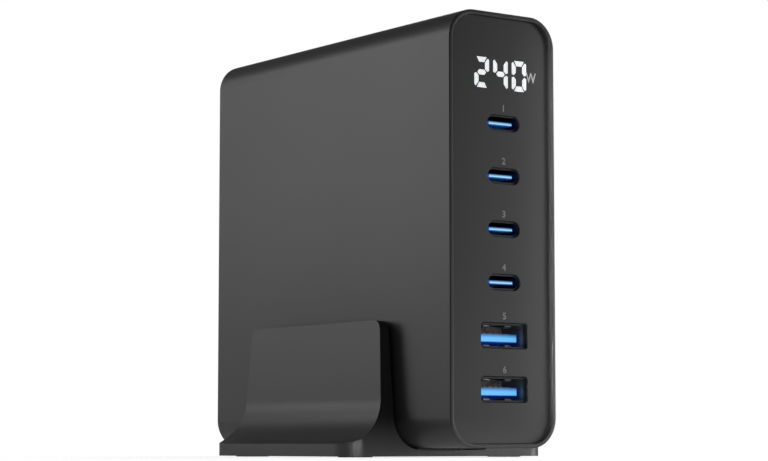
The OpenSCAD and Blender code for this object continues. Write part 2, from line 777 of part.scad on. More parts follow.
// Section of the cradle across the front, wider than its base. It is drawn out along Y,
// then trimmed to the base's outline from above and to the wings' outline from the side.
slot_foot = body_w / 2 + cradle_gap;
slot_top = slot_foot + cradle_draft;
slot_r = corner_r + rest_proud;
wing_out = slot_foot + wing_root;
flare_z = stand_edge + flare_r;

module cradle_section() difference() {
    half = [[stand_w, 0], [stand_w, stand_edge], [wing_out + flare_r, stand_edge],
        [wing_out, flare_z], [slot_top + wing_tip, wing_h]];
    polygon(concat(half, [for (i = [4:-1:0]) [-half[i][0], half[i][1]]]));
    for (s = [-1, 1]) translate([s * (wing_out + flare_r), flare_z]) circle(flare_r);
    translate([0, floor_t]) slot_section();
}

module slot_section() {
    for (s = [-1, 1]) translate([s * (slot_foot - slot_r), slot_r]) circle(slot_r);
    translate([-slot_foot + slot_r, 0]) square([2 * (slot_foot - slot_r), 2 * slot_r]);
    top = wing_h - floor_t + eps;
    polygon([[-slot_foot, slot_r], [slot_foot, slot_r], [slot_top, top], [-slot_top, top]]);
}

// Side outline of the cradle: ends leaning in a little, upper corners rounded
module cradle_side() {
    y = stand_d / 2;
    arc_y = y - wing_draft - wing_corner;
    arc_z = wing_h - wing_corner;
    foot = y + wing_draft * stand_edge / (arc_z - stand_edge);
    polygon([[-foot, 0], [foot, 0], [y - wing_draft, arc_z], [arc_y, wing_h],
        [-arc_y, wing_h], [-y + wing_draft, arc_z]]);
    for (s = [-1, 1]) translate([s * arc_y, arc_z]) circle(wing_corner);
}

rest_w = 12;
rest_l = 8;
rest_inset = 9;
rest_y = stand_d / 2 - rest_inset;
foot_inset = 7.5;
foot_x = stand_w / 2 - foot_inset;
foot_y = stand_d / 2 - foot_inset;
pad_gap = 0.1;

module cradle() color("#5b5b5d") difference() {
    translate([0, 0, foot_proud]) intersection() {
        along_y(-stand_d, stand_d) cradle_section();
        linear_extrude(wing_h + 1) rounded(stand_w, stand_d, stand_r);
        rotate([90, 0, 90]) translate([0, 0, -stand_w]) linear_extrude(2 * stand_w) cradle_side();
    }
    for (s = [-1, 1]) translate([0, s * rest_y, floor_z - pad_recess])
        linear_extrude(pad_recess + 1) square([rest_w + 2 * pad_gap, rest_l + 2 * pad_gap], center = true);
    for (sx = [-1, 1], sy = [-1, 1]) translate([sx * foot_x, sy * foot_y, 0])
        cylinder(h = foot_proud + pad_recess, d = foot_d + 2 * pad_gap);
}

module cradle_rests() color("#3c3c3e")
    for (s = [-1, 1]) translate([-rest_w / 2, s * rest_y - rest_l / 2, floor_z - pad_recess])
        cube([rest_w, rest_l, pad_recess + rest_proud]);

module cradle_feet() color("#2c2c2e")
    for (sx = [-1, 1], sy = [-1, 1]) translate([sx * foot_x, sy * foot_y, 0])
        cylinder(h = foot_proud + pad_recess, d = foot_d);

housing();
front_panel();
display_light_guide();
display_board();
display_header();
oval_shell(0);  // usb_c_shell_1
oval_shell(1);  // usb_c_shell_2
oval_shell(2);  // usb_c_shell_3
oval_shell(3);  // usb_c_shell_4
oval_tongue(0);  // usb_c_tongue_1
oval_tongue(1);  // usb_c_tongue_2
oval_tongue(2);  // usb_c_tongue_3
oval_tongue(3);  // usb_c_tongue_4
usb_c_contacts();
flat_shell(4);  // usb_a_shell_1
flat_shell(5);  // usb_a_shell_2
flat_tongue(4);  // usb_a_tongue_1
flat_tongue(5);  // usb_a_tongue_2
usb_a_contacts();
socket_board();
socket_board_screws();
main_board();
insulating_film();
heat_spreader();
transformer_core();
transformer_winding();
boost_choke_core();
boost_choke_winding();
line_choke_rings();
line_choke_bases();
line_filter_capacitor();
bulk_capacitors();
bridge_rectifier();
heat_sink();
power_transistors();
fuse();
output_inductors();
output_capacitors();
rear_cover();
ac_inlet();
ac_pins();
cradle();
cradle_rests();
cradle_feet();
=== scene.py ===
import math

import bmesh
import bpy
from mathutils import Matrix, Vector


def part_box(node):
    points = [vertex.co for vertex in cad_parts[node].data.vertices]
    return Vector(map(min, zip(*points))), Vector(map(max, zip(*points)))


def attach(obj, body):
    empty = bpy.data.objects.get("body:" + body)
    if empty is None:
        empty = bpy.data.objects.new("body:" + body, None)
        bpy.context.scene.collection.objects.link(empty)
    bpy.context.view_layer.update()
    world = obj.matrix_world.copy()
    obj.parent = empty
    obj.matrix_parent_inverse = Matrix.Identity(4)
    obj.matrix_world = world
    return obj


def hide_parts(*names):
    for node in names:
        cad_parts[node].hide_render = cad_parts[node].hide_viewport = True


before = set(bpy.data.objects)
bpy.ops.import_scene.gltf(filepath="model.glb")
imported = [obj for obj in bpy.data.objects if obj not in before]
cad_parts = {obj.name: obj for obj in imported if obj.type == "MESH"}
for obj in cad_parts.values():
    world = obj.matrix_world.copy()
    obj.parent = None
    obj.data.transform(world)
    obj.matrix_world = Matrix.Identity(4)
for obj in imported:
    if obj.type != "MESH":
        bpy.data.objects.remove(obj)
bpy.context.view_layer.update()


# Camera. It stands just above the table, in front of the charger and to its left, and looks
# slightly up through a long lens, so upright edges stay almost parallel.
MM = 0.001
CAMERA_PLACE = (-319.49 * MM, -445.44 * MM, 3.21 * MM)
CAMERA_TURN = math.radians(35.825)
CAMERA_TILT = math.radians(5.452)
LENS = 104.56
SENSOR_W = 36
NEAREST_SEEN = 10 * MM


def in_scene(name, data):
    """Puts a camera, lamp, mesh or text into the scene as an object"""
    placed = bpy.data.objects.new(name, data)
    bpy.context.scene.collection.objects.link(placed)
    return placed


camera = bpy.data.cameras.new("camera")
camera.lens = LENS
camera.sensor_width = SENSOR_W
camera.clip_start = NEAREST_SEEN
camera_object = in_scene("camera", camera)
camera_object.location = CAMERA_PLACE
camera_object.rotation_euler = (math.pi / 2 + CAMERA_TILT, 0, -CAMERA_TURN)
bpy.context.scene.camera = camera_object
bpy.context.scene.view_settings.view_transform = "Standard"


# Table and background. A matt white tabletop runs back into a white room. The camera sees both
# lifted to white, the table keeps the charger's shadow, and the room is dimmer in front.
TABLE_HALF = 4
TABLE_COLOUR = (0.82, 0.82, 0.82)
TABLE_SEEN = 0.8
TABLE_MIRRORED = 0.3
FADE_FROM = 100 * MM
FADE_TO = 700 * MM
WHITE = (1.0, 1.0, 1.0)
FRONT_ROOM = 0.05
BACK_ROOM = 0.25
FRONT_UNTIL = -0.4
BACK_FROM = 0.3
CEILING = 0.3
WALLS_UNTIL = 0.25
CEILING_FROM = 0.5
ROOM_MIRRORED = 0.02


class Socket:
    """An output of a shader node. Arithmetic on it adds Math nodes, and node() adds any other node."""

    def __init__(self, tree, link=None):
        self.tree = tree
        self.link = link

    def node(self, kind, settings, inputs, output=0):
        """Adds a node with its settings and the values or links of its sockets"""
        made = self.tree.nodes.new(kind)
        for name, value in settings.items():
            setattr(made, name, value)
        for name, value in inputs.items():
            if isinstance(value, Socket):
                self.tree.links.new(value.link, made.inputs[name])
            elif isinstance(value, tuple) and made.inputs[name].type == "RGBA":
                made.inputs[name].default_value = (*value, 1)
            else:
                made.inputs[name].default_value = value
        return Socket(self.tree, made.outputs[output]) if made.outputs else made

    def maths(self, operation, first, second):
        return self.node("ShaderNodeMath", {"operation": operation}, {0: first, 1: second})

    def __add__(self, other):
        return self.maths("ADD", self, other)

    def __radd__(self, other):
        return self.maths("ADD", other, self)

    def __sub__(self, other):
        return self.maths("SUBTRACT", self, other)

    def __rsub__(self, other):
        return self.maths("SUBTRACT", other, self)

    def __mul__(self, other):
        return self.maths("MULTIPLY", self, other)

    def __rmul__(self, other):
        return self.maths("MULTIPLY", other, self)

    def between(self, low, high):
        """0 below low, 1 above high, straight between them"""
        return self.node("ShaderNodeMapRange", {}, {"Value": self, "From Min": low, "From Max": high})

    def mix(self, first, second):
        """The colour first where this is 0, and second where it is 1"""
        return self.node("ShaderNodeMix", {"data_type": "RGBA"}, {0: self, 6: first, 7: second}, 2)

    def plus(self, other):
        """The sum of two colours"""
        settings = {"data_type": "RGBA", "blend_type": "ADD"}
        return self.node("ShaderNodeMix", settings, {0: 1.0, 6: self, 7: other}, 2)

    def part(self, axis):
        """One coordinate of a vector"""
        return self.node("ShaderNodeSeparateXYZ", {}, {0: self}, "XYZ".index(axis))


def node_tree(owner):
    """The emptied nodes of a material or world, as the socket that new nodes are added from"""
    owner.use_nodes = True
    owner.node_tree.nodes.clear()
    return Socket(owner.node_tree)


def rays(tree):
    """1 for what the camera sees itself, and 1 for what it sees mirrored or through glass"""
    light = [tree.node("ShaderNodeLightPath", {}, {}, "Is %s Ray" % kind)
             for kind in ("Camera", "Glossy", "Transmission")]
    return light[0], light[1] + light[2]


table_top = bpy.data.materials.new("white_table")
table = node_tree(table_top)
seen, mirrored = rays(table)
spot = table.node("ShaderNodeTexCoord", {}, {}, "Object")
distance = table.node("ShaderNodeVectorMath", {"operation": "LENGTH"}, {0: spot}, "Value")
white = distance.between(FADE_FROM, FADE_TO) * (1 - TABLE_SEEN) + TABLE_SEEN
lifted = table.node("ShaderNodeEmission", {}, {
    "Color": WHITE, "Strength": seen * white + mirrored * TABLE_MIRRORED})
matt = table.node("ShaderNodeBsdfDiffuse", {}, {"Color": TABLE_COLOUR})
both = table.node("ShaderNodeAddShader", {}, {0: lifted, 1: matt})
table.node("ShaderNodeOutputMaterial", {}, {"Surface": both})

corners = [(x * TABLE_HALF, y * TABLE_HALF, 0) for x, y in ((-1, -1), (1, -1), (1, 1), (-1, 1))]
floor_mesh = bpy.data.meshes.new("floor")
floor_mesh.from_pydata(corners, [], [(0, 1, 2, 3)])
floor_mesh.materials.append(table_top)
floor = in_scene("floor", floor_mesh)

world = bpy.data.worlds.new("studio")
bpy.context.scene.world = world
sky = node_tree(world)
seen, mirrored = rays(sky)
towards = sky.node("ShaderNodeTexCoord", {}, {}, "Generated")
ceiling = towards.part("Z").between(WALLS_UNTIL, CEILING_FROM) * (CEILING - 1) + 1
backwards = towards.part("Y").between(FRONT_UNTIL, BACK_FROM)
room = (backwards * (BACK_ROOM - FRONT_ROOM) + FRONT_ROOM) * ceiling
strength = room * (1 - seen) + seen + mirrored * ROOM_MIRRORED
air = sky.node("ShaderNodeBackground", {}, {"Color": WHITE, "Strength": strength})
sky.node("ShaderNodeOutputWorld", {}, {"Surface": air})


# Lamps. Soft boxes stand round the charger: large ones behind it and above it for its long side
# and its top, and small or gridded ones for the panel, its rim and the foot of the cradle.
MIDDLE = (0, -0.02, 0.05)
LEFT_FACE = (-0.015, -0.03, 0.06)
LEFT_FRONT_EDGE = (-0.015, -0.045, 0.08)
FRONT_FOOT = (0, -0.045, 0.01)
BODY_TOP = (0, 0, 0.1)
CRADLE_FRONT = (-0.02, -0.027, 0.002)
RIGHT_FOOT = (0.01, -0.048, 0.006)
PANEL_MIDDLE = (0.008, -0.049, 0.058)
RIGHT_RIM = (0.0285, -0.0493, 0.052)


def soft_lamp(name, turn, rise, away, towards, size, watts, beam=180):
    """A soft box that faces a point of the charger. Its turn is 0 at the left and 90 in front, its
    rise is upwards, and its beam is what a grid leaves open, all in degrees"""
    turn, rise = math.radians(turn), math.radians(rise)
    aim = (math.cos(turn) * math.cos(rise), math.sin(turn) * math.cos(rise), -math.sin(rise))
    lamp = bpy.data.lights.new(name, "AREA")
    lamp.shape = "RECTANGLE"
    lamp.size, lamp.size_y = size
    lamp.energy = watts
    lamp.spread = math.radians(beam)
    lamp_object = in_scene(name, lamp)
    lamp_object.location = [middle - away * part for middle, part in zip(towards, aim)]
    lamp_object.rotation_euler = (math.pi / 2 - rise, 0, turn - math.pi / 2)
    lamp_object.visible_camera = False


soft_lamp("lamp_left_rear", -54, 9, 1.0, MIDDLE, (0.4, 0.25), 0.34)
soft_lamp("lamp_left_rear_near", -50, 8, 0.6, LEFT_FACE, (0.2, 0.12), 0.14)
soft_lamp("lamp_left_near", -44, 12, 0.35, LEFT_FRONT_EDGE, (0.12, 0.08), 0.05)
soft_lamp("lamp_left_rear_high", -54, 26, 0.5, LEFT_FACE, (0.2, 0.1), 0.2)
soft_lamp("lamp_left_rear_top", -54, 40, 1.0, MIDDLE, (0.4, 0.2), 0.13)
soft_lamp("lamp_front_left_low", 60, 0, 0.3, CRADLE_FRONT, (0.06, 0.005), 0.0003, 2.5)
soft_lamp("lamp_front_corner_low", 82, 0, 0.3, CRADLE_FRONT, (0.14, 0.005), 0.0008, 2.5)
soft_lamp("lamp_right_front", 147, 10, 0.16, PANEL_MIDDLE, (0.05, 0.12), 0.067)
soft_lamp("lamp_rim_wall", 25, 0, 0.25, RIGHT_RIM, (0.006, 0.09), 0.0085, 5)
soft_lamp("lamp_front_low", 126, 0, 0.2, FRONT_FOOT, (0.14, 0.012), 0.011)
soft_lamp("lamp_right_low", 160, 0, 0.15, RIGHT_FOOT, (0.06, 0.02), 0.08)
soft_lamp("lamp_top", -172, 54, 0.8, BODY_TOP, (0.4, 0.3), 0.6)
soft_lamp("lamp_right_rear", -135, 20, 1.0, MIDDLE, (0.4, 0.25), 0.6)


# Body sleeve. A seamless sleeve of matt grey polycarbonate, moulded in one piece, with a thin
# rim at each end that stands proud of the panel and the cover set into it.
BODY_LOW, BODY_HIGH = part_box("housing")
BODY_W = BODY_HIGH.x - BODY_LOW.x
BODY_H = BODY_HIGH.z - BODY_LOW.z
BODY_MID = (BODY_HIGH.z + BODY_LOW.z) / 2
BODY_FRONT = BODY_LOW.y
BODY_REAR = BODY_HIGH.y
BODY_CORNER = 7 * MM
BODY_WALL = 2 * MM
BODY_GREY = (0.05, 0.05, 0.051)
BODY_GRAIN = 0.25
BODY_SHINE = 0.45
RIM_W = 1 * MM
RIM_ROUND = 0.2 * MM
RIM_SIDE = RIM_W - RIM_ROUND
SLEEVE_ROUND = 0.25 * MM
PANEL_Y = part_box("front_panel")[0].y
PANEL_T = 2 * MM
PANEL_BACK = PANEL_Y + PANEL_T
COVER_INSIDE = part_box("rear_cover")[0].y
ROUND_STEPS = 4
CORNER_STEPS = 20
SAME_POINT = 0.0001 * MM
GRAIN_SCALE = 5200.0
GRAIN_DEPTH = 0.02 * MM
CLOUD_SCALE = 26.0
TONE_SPAN = 0.1
MOULDED_ROUGH = 0.4


def arc(centre, radius, start, end, steps):
    """Points round part of a circle, between two angles in degrees"""
    turns = [math.radians(start + (end - start) * i / steps) for i in range(steps + 1)]
    return [(centre[0] + radius * math.cos(a), centre[1] + radius * math.sin(a)) for a in turns]


def outline(width, height, radius):
    """A rounded rectangle round the origin, anticlockwise from its upper right corner"""
    points = []
    for quarter, (right, up) in enumerate(((1, 1), (-1, 1), (-1, -1), (1, -1))):
        centre = (right * (width / 2 - radius), up * (height / 2 - radius))
        points += arc(centre, radius, 90 * quarter, 90 * quarter + 90, CORNER_STEPS)
    return points


def sleeve_loop(inset, y):
    """The sleeve's outline at one place along it, so far inside its outer face"""
    across = outline(BODY_W - 2 * inset, BODY_H - 2 * inset, BODY_CORNER - inset)
    return [(x, y, BODY_MID + z) for x, z in across]


def ring(loops):
    """The points and faces of a closed ring of skin, its last loop joined to its first"""
    count = len(loops[0])
    points = [point for loop in loops for point in loop]
    faces = []
    for k in range(len(loops)):
        after = (k + 1) % len(loops)
        for i in range(count):
            j = (i + 1) % count
            faces.append((k * count + i, k * count + j, after * count + j, after * count + i))
    return points, faces


def clean(mesh):
    """Joins doubled points and turns the faces outwards"""
    shape = bmesh.new()
    shape.from_mesh(mesh)
    bmesh.ops.remove_doubles(shape, verts=shape.verts, dist=SAME_POINT)
    bmesh.ops.recalc_face_normals(shape, faces=shape.faces)
    shape.to_mesh(mesh)
    shape.free()


def solid(name, points, faces):
    """One closed mesh as an object"""
    mesh = bpy.data.meshes.new(name)
    mesh.from_pydata(points, [], faces)
    clean(mesh)
    return in_scene(name, mesh)


def settle(made, finish, replaced=(), smooth=True):
    """Gives a piece its finish and fixes it to the charger"""
    clean(made.data)
    for face in made.data.polygons:
        face.use_smooth = smooth
    made.data.materials.clear()
    made.data.materials.append(finish)
    if smooth:
        weighted = made.modifiers.new("flat faces stay flat", "WEIGHTED_NORMAL")
        weighted.keep_sharp = True
    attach(made, "root")
    if replaced:
        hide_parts(*replaced)


def toned(colour, share):
    """A colour with each of its parts times a share"""
    return tuple(share * part for part in colour)


def shaded(made, tree, inputs):
    """Ends a material with a Principled shader that has these inputs"""
    shader = tree.node("ShaderNodeBsdfPrincipled", {}, inputs)
    tree.node("ShaderNodeOutputMaterial", {}, {"Surface": shader})
    return made


def moulded(name, colour, grain, shine, speck=0.0):
    """Matt moulded plastic: spark-eroded grain in the mould, a little uneven in tone and shine"""
    made = bpy.data.materials.new(name)
    skin = node_tree(made)
    place = skin.node("ShaderNodeTexCoord", {}, {}, "Object")
    fine = skin.node("ShaderNodeTexNoise", {}, {
        "Vector": place, "Scale": GRAIN_SCALE, "Detail": 3.0, "Roughness": 0.6})
    broad = skin.node("ShaderNodeTexNoise", {}, {"Vector": place, "Scale": CLOUD_SCALE, "Detail": 2.0})
    tone = (broad - 0.5) * 0.08 + (fine - 0.5) * speck + 0.5
    return shaded(made, skin, {
        "Base Color": tone.mix(toned(colour, 1 - TONE_SPAN), toned(colour, 1 + TONE_SPAN)),
        "Roughness": (fine - 0.5) * 0.08 + (broad - 0.5) * 0.05 + MOULDED_ROUGH,
        "Specular IOR Level": shine,
        "Normal": skin.node("ShaderNodeBump", {}, {
            "Strength": grain, "Distance": GRAIN_DEPTH, "Height": fine})})


sleeve_plastic = moulded("sleeve_plastic", BODY_GREY, BODY_GRAIN, BODY_SHINE)
sleeve_stations = (
    arc((SLEEVE_ROUND, BODY_REAR - SLEEVE_ROUND), SLEEVE_ROUND, 180, 90, ROUND_STEPS)
    + arc((RIM_SIDE, BODY_REAR - RIM_ROUND), RIM_ROUND, 90, 0, ROUND_STEPS)
    + [(RIM_W, COVER_INSIDE), (BODY_WALL, COVER_INSIDE), (BODY_WALL, PANEL_BACK), (RIM_W, PANEL_BACK)]
    + arc((RIM_SIDE, BODY_FRONT + RIM_ROUND), RIM_ROUND, 0, -90, ROUND_STEPS)
    + arc((SLEEVE_ROUND, BODY_FRONT + SLEEVE_ROUND), SLEEVE_ROUND, -90, -180, ROUND_STEPS)
)
sleeve = solid("body_sleeve", *ring([sleeve_loop(inset, y) for inset, y in sleeve_stations]))
settle(sleeve, sleeve_plastic, ("housing",))


# Front panel. A flat plate of the same plastic, set back behind the rim, with bevelled cut-outs
# for the six sockets and seven-segment slots for the readout. It is pressed in from the front.
PANEL_GRAIN = 0.2


def dress(finish, *names):
    """Gives a finish to parts that keep their own shape"""
    for name in names:
        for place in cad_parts[name].material_slots:
            place.material = finish


panel_plastic = moulded("panel_plastic", BODY_GREY, PANEL_GRAIN, BODY_SHINE)
dress(panel_plastic, "front_panel")


# Printed figures. Pale pad print on the panel: a plain number above each socket, and the
# unit beside the readout.
PRINT_T = 0.012 * MM
PRINT_GREY = (0.5, 0.5, 0.51)
PRINT_CLOUD = 3000.0
STROKE = 0.1 * MM
CAPITAL_SHARE = 0.7
CURVE_STEPS = 6
NUMBER_H = 1.5 * MM
NUMBER_RISE = 0.95 * MM
UNIT_GREY = (0.9, 0.9, 0.9)
UNIT_H = 2.35 * MM
UNIT_X = 9.25 * MM
UNIT_NARROW = 0.84
READOUT_LOW, READOUT_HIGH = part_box("display_light_guide")
READOUT_MID = (READOUT_LOW.z + READOUT_HIGH.z) / 2
C_SHELLS = ["usb_c_shell_%d" % k for k in (1, 2, 3, 4)]
A_SHELLS = ["usb_a_shell_%d" % k for k in (1, 2)]


def ink(name, colour):
    """Pad-printed ink: matt, a little thinner in places"""
    made = bpy.data.materials.new(name)
    film = node_tree(made)
    place = film.node("ShaderNodeTexCoord", {}, {}, "Object")
    thin = film.node("ShaderNodeTexNoise", {}, {"Vector": place, "Scale": PRINT_CLOUD, "Detail": 2.0})
    return shaded(made, film, {
        "Base Color": thin.between(0.35, 0.6).mix(toned(colour, 0.85), colour),
        "Roughness": thin * 0.2 + 0.45,
        "Specular IOR Level": 0.3})


def finished_mesh(thing):
    """The mesh that a text or an object's modifiers make"""
    bpy.context.view_layer.update()
    return bpy.data.meshes.new_from_object(thing.evaluated_get(bpy.context.evaluated_depsgraph_get()))


def printed(name, words, height, centre_x, foot_z, finish, narrow=1.0):
    """Flat print on the panel's face, centred on centre_x and standing on foot_z"""
    drawing = bpy.data.curves.new(name, "FONT")
    drawing.body = words
    drawing.align_x = "CENTER"
    drawing.size = height / CAPITAL_SHARE
    drawing.extrude = PRINT_T
    drawing.offset = STROKE / 2
    drawing.resolution_u = CURVE_STEPS
    drawn = in_scene(name, drawing)
    drawn.rotation_euler = (math.pi / 2, 0, 0)
    drawn.location = (centre_x, PANEL_Y, foot_z)
    drawn.scale.x = narrow
    flat = finished_mesh(drawn)
    flat.transform(drawn.matrix_world)
    flat.name = name
    bpy.data.objects.remove(drawn)
    settle(in_scene(name, flat), finish, smooth=False)


pale_print = ink("pale_print", PRINT_GREY)
for number, shell in enumerate(C_SHELLS + A_SHELLS, 1):
    low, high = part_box(shell)
    printed("socket_number_%d" % number, str(number), NUMBER_H, (low.x + high.x) / 2,
            high.z + NUMBER_RISE, pale_print)
unit_print = ink("unit_print", UNIT_GREY)
printed("readout_unit", "W", UNIT_H, UNIT_X, READOUT_MID - UNIT_H / 2, unit_print, UNIT_NARROW)


# Readout. A milky moulding behind the panel whose raised bars fill the slots flush, lit from
# behind by the board it is fixed to.
LIT_WHITE = (0.94, 0.96, 0.97)
LIT_STRENGTH = 0.7
MILKY = (0.8, 0.82, 0.85)


def glowing(name, colour, strength):
    """Milky plastic lit from behind, a little cloudy"""
    made = bpy.data.materials.new(name)
    glow = node_tree(made)
    place = glow.node("ShaderNodeTexCoord", {}, {}, "Object")
    cloud = glow.node("ShaderNodeTexNoise", {}, {"Vector": place, "Scale": 900.0, "Detail": 1.0})
    return shaded(made, glow, {
        "Base Color": MILKY,
        "Emission Color": cloud.between(0.3, 0.6).mix(toned(colour, 0.86), colour),
        "Emission Strength": strength,
        "Roughness": cloud * 0.1 + 0.3})


dress(glowing("lit_readout", LIT_WHITE, LIT_STRENGTH), "display_light_guide")


# Sockets. Each has a drawn steel shell, dark grey on the oval sockets and with painted shade at
# the front edge of the flat ones, a blue tongue moulded into a block at the back of the shell, with
# a painted highlight at its tip, a painted glow behind it and painted shade deeper in, and
# gold-plated contacts on the tongue.
FLAT_STEEL = (0.33, 0.335, 0.34)
OVAL_STEEL = (0.06, 0.06, 0.065)
# Painted shade at the front edge of the flat sockets' shells, and how far behind that edge it fades out.
LIP_PAINTED_SHADE = (0.035, 0.035, 0.038)
LIP_FROM = 0.3 * MM
LIP_TO = 1.0 * MM
GOLD = (0.83, 0.6, 0.26)
FRONT_TO_BACK = (1.0, 0.1, 1.0)
STREAK_SCALE = 1600.0
STREAK_DEPTH = 0.01 * MM
TONGUE_BLUE = (0.01, 0.07, 0.35)
# Painted shade: the near-black blue that the tongues' colour darkens to deep in the socket.
PAINTED_SHADE_DEEP_BLUE = (0.006, 0.012, 0.03)
UNLIT = (0.0, 0.0, 0.0)
TIP_FROM = 0.05 * MM
TIP_TO = 0.1 * MM
# Painted glow, painted highlight and painted shade on the tongues: how deep they reach, and the emitted
# colours.
PAINTED_GLOW_AND_SHADE_DEPTH = 9 * MM
PAINTED_GLOW_EDGE = 0.1 * MM
OVAL_TONGUE_T = 0.65 * MM
OVAL_PAINTED_HIGHLIGHT = (0.34, 0.7, 1.0)
OVAL_FULL = 0.35
OVAL_PAINTED_GLOW_UNDER = (0.0, 0.14, 0.85)
OVAL_PAINTED_GLOW_OVER = (0.01, 0.12, 0.3)
FLAT_TONGUE_T = 1.9 * MM
FLAT_TONGUE_DROP = 0.45 * MM
FLAT_PAINTED_HIGHLIGHT = (0.13, 0.5, 0.95)
FLAT_FULL = 0.5
FLAT_PAINTED_GLOW_UNDER = (0.0, 0.05, 0.4)
FLAT_PAINTED_GLOW_OVER = (0.15, 0.14, 0.12)


def sheet_metal(name, colour, rough, streak=(1.0, 1.0, 1.0), painted_shade_edge=None, bare=1.0):
    """Rolled or drawn sheet with faint streaks, and painted shade at its front edge where that edge's Y
    is given
    """
    made = bpy.data.materials.new(name)
    metal = node_tree(made)
    place = metal.node("ShaderNodeTexCoord", {}, {}, "Object")
    drawn = metal.node("ShaderNodeVectorMath", {"operation": "MULTIPLY"}, {0: place, 1: streak})
    lines = metal.node("ShaderNodeTexNoise", {}, {"Vector": drawn, "Scale": STREAK_SCALE, "Detail": 3.0})
    tone = lines.between(0.3, 0.7).mix(toned(colour, 0.88), colour)
    # Painted shade: the shell is coloured dark at its front edge, fading to its own colour behind it.
    if painted_shade_edge is not None:
        behind_lip = place.part("Y").between(painted_shade_edge + LIP_FROM, painted_shade_edge + LIP_TO)
        tone = behind_lip.mix(LIP_PAINTED_SHADE, tone)
    return shaded(made, metal, {
        "Base Color": tone,
        "Metallic": bare,
        "Roughness": lines * 0.16 + rough,
        "Normal": metal.node("ShaderNodeBump", {}, {
            "Strength": 0.15, "Distance": STREAK_DEPTH, "Height": lines})})


def lit_tongue(name, tip_y, foot, thickness, colour, full, under, over):
    """Blue plastic with a painted highlight: an emitted bright line across its tip, full up to a share
    of its thickness and then fading. Behind the tip it has a painted glow, dim, emitted in one colour
    up to the tongue's top and in another over it, and its colour has painted shade deeper in"""
    made = bpy.data.materials.new(name)
    glow = node_tree(made)
    place = glow.node("ShaderNodeTexCoord", {}, {}, "Object")
    facing = glow.node("ShaderNodeTexCoord", {}, {}, "Normal")
    back = place.part("Y")
    forwards = 1 - facing.part("Y").between(-0.9, -0.6)
    tip = forwards * (1 - back.between(tip_y + TIP_FROM, tip_y + TIP_TO))
    height = place.part("Z").between(foot, foot + thickness)
    line = height.between(0.0, 0.12) * (1 - height.between(full, 1.0) * 0.97)
    deep = back.between(tip_y, tip_y + PAINTED_GLOW_AND_SHADE_DEPTH)
    behind = (1 - facing.part("Z").between(0.1, 0.5)) * (1 - deep) * (1 - tip)
    top = foot + thickness
    above = place.part("Z").between(top, top + PAINTED_GLOW_EDGE)
    cloud = glow.node("ShaderNodeTexNoise", {}, {"Vector": place, "Scale": 1200.0, "Detail": 1.0})
    # Painted highlight: an emitted bright line across the tip stands in for light falling on it.
    lit = (tip * line).mix(UNLIT, colour)
    # Painted glow: emitted colour behind the tip stands in for light and reflections inside the socket.
    painted_glow_behind = (behind * cloud.between(0.2, 0.6)).mix(UNLIT, above.mix(under, over))
    # Painted shade: the base colour goes from the tongue's blue to near black towards the back of the
    # socket.
    return shaded(made, glow, {
        "Base Color": deep.mix(TONGUE_BLUE, PAINTED_SHADE_DEEP_BLUE),
        "Emission Color": lit.plus(painted_glow_behind),
        "Emission Strength": 1.0,
        "Roughness": cloud * 0.15 + 0.35})


flat_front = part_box(A_SHELLS[0])[0].y
flat_steel = sheet_metal("socket_steel", FLAT_STEEL, 0.4, FRONT_TO_BACK, painted_shade_edge=flat_front, bare=0.5)
dress(flat_steel, *A_SHELLS)
dress(sheet_metal("oval_shell_steel", OVAL_STEEL, 0.35, FRONT_TO_BACK), *C_SHELLS)
for k in (1, 2, 3, 4):
    low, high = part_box("usb_c_tongue_%d" % k)
    foot = (low.z + high.z - OVAL_TONGUE_T) / 2
    blue = lit_tongue("oval_tongue_painted_glow_%d" % k, low.y, foot, OVAL_TONGUE_T,
                      OVAL_PAINTED_HIGHLIGHT, OVAL_FULL, OVAL_PAINTED_GLOW_UNDER, OVAL_PAINTED_GLOW_OVER)
    dress(blue, "usb_c_tongue_%d" % k)
for k in (1, 2):
    low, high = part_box("usb_a_tongue_%d" % k)
    foot = (low.z + high.z - FLAT_TONGUE_T) / 2 - FLAT_TONGUE_DROP
    blue = lit_tongue("flat_tongue_painted_glow_%d" % k, low.y, foot, FLAT_TONGUE_T,
                      FLAT_PAINTED_HIGHLIGHT, FLAT_FULL, FLAT_PAINTED_GLOW_UNDER, FLAT_PAINTED_GLOW_OVER)
    dress(blue, "usb_a_tongue_%d" % k)
dress(sheet_metal("gold_plate", GOLD, 0.18), "usb_c_contacts", "usb_a_contacts")


# Rear cover and mains inlet. The cover is pressed in as the panel is, and carries a black inlet
# for a figure-of-eight mains lead, with two plated brass pins.
INLET_BLACK = (0.018, 0.018, 0.019)
PIN_PLATE = (0.66, 0.63, 0.57)

dress(panel_plastic, "rear_cover")
black_moulding = moulded("inlet_black", INLET_BLACK, grain=0.15, shine=0.4)
dress(black_moulding, "ac_inlet", "display_header", "line_choke_bases")
dress(sheet_metal("pin_plate", PIN_PLATE, 0.16, streak=(1.0, 0.08, 1.0)), "ac_pins")


